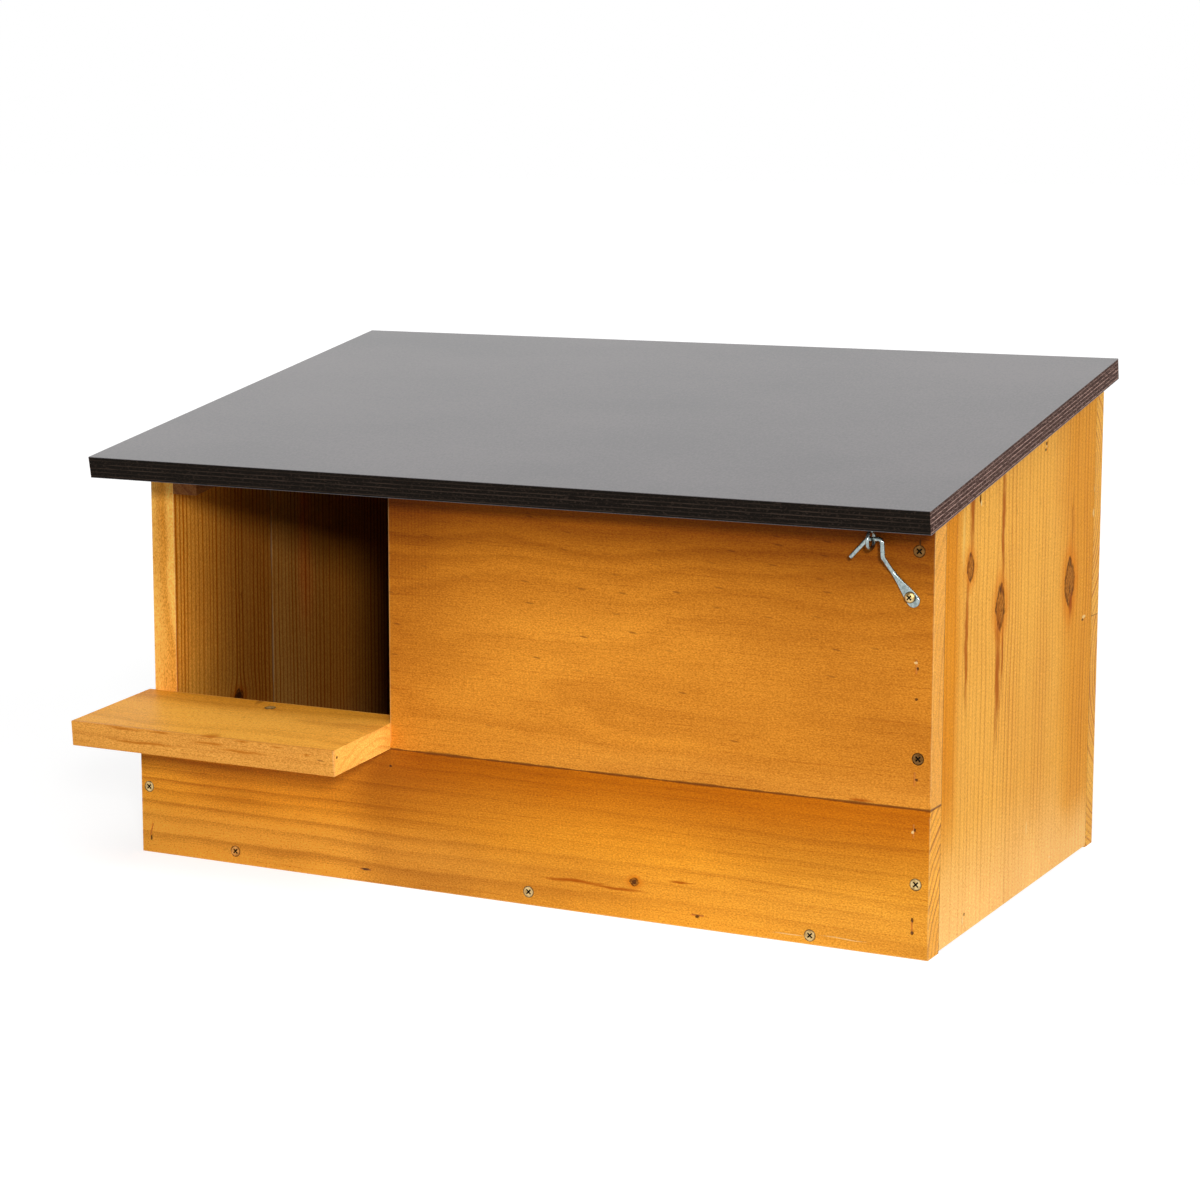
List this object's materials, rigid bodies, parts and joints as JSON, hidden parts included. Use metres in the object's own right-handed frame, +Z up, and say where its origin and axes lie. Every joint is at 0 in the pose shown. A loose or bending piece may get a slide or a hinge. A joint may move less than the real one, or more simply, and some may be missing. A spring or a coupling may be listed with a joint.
{
  "type": "owl nest box",
  "caption": "Wide wooden nest box for owls with an open entrance over a landing board and a hinged sloping roof held by a hook and screw eye.",
  "frame": {"origin": "middle of the base plane, under the floor, halfway between the two sides and between the front and back faces", "axes": "+X to the right along the front as seen from outside, +Y from the front to the back, +Z up. The entrance is at the -X end of the -Y face"},
  "size_m": [0.621, 0.4161, 0.3544],
  "materials": {
    "front_pine": "pine with a honey-orange wood stain, satin",
    "side_pine": "pine with a lighter honey wood stain, satin",
    "inner_pine": "bare planed pine",
    "film_faced_plywood": "plywood with a dark brown phenolic film, slight sheen",
    "hinge_steel": "yellow zinc plated steel",
    "zinc_steel": "bright zinc plated steel",
    "yellow_zinc_steel": "yellow zinc plated steel",
    "staple_wire": "galvanised staple wire"
  },
  "bodies": {
    "box": {"lower_front_board": "front_pine", "upper_front_board": "front_pine", "landing_board": "front_pine", "left_side_front_board": "side_pine", "left_side_rear_board": "side_pine", "right_side_front_board": "side_pine", "right_side_rear_board": "side_pine", "lower_back_board": "side_pine", "upper_back_board": "side_pine", "floor_front_board": "inner_pine", "floor_rear_board": "inner_pine", "left_side_cleat": "inner_pine", "right_side_cleat": "inner_pine", "joint_batten": "inner_pine", "left_hinge_box_leaf": "hinge_steel", "left_hinge_pin": "zinc_steel", "right_hinge_box_leaf": "hinge_steel", "right_hinge_pin": "zinc_steel", "hinge_box_screws": "yellow_zinc_steel", "hook_screw": "yellow_zinc_steel", "front_screws": "yellow_zinc_steel", "landing_board_screw": "yellow_zinc_steel", "back_screws": "yellow_zinc_steel", "batten_screws": "yellow_zinc_steel", "front_staples": "staple_wire", "left_side_staples": "staple_wire", "right_side_staples": "staple_wire"},
    "roof": {"roof_panel": "film_faced_plywood", "left_hinge_roof_leaf": "hinge_steel", "right_hinge_roof_leaf": "hinge_steel", "hinge_roof_screws": "yellow_zinc_steel", "screw_eye": "zinc_steel"},
    "hook": {"latch_hook": "zinc_steel"}
  },
  "joints": [
    {"name": "roof_hinge", "type": "hinge", "parent": "box", "child": "roof", "pos_m": [0, 0.17207, 0.34004], "axis": [-1, 0, 0], "range_deg": [0, 105]},
    {"name": "hook_turn", "type": "hinge", "parent": "box", "child": "hook", "pos_m": [0.285, -0.169, 0.22947], "axis": [0, 1, 0], "range_deg": [0, 210]}
  ]
}
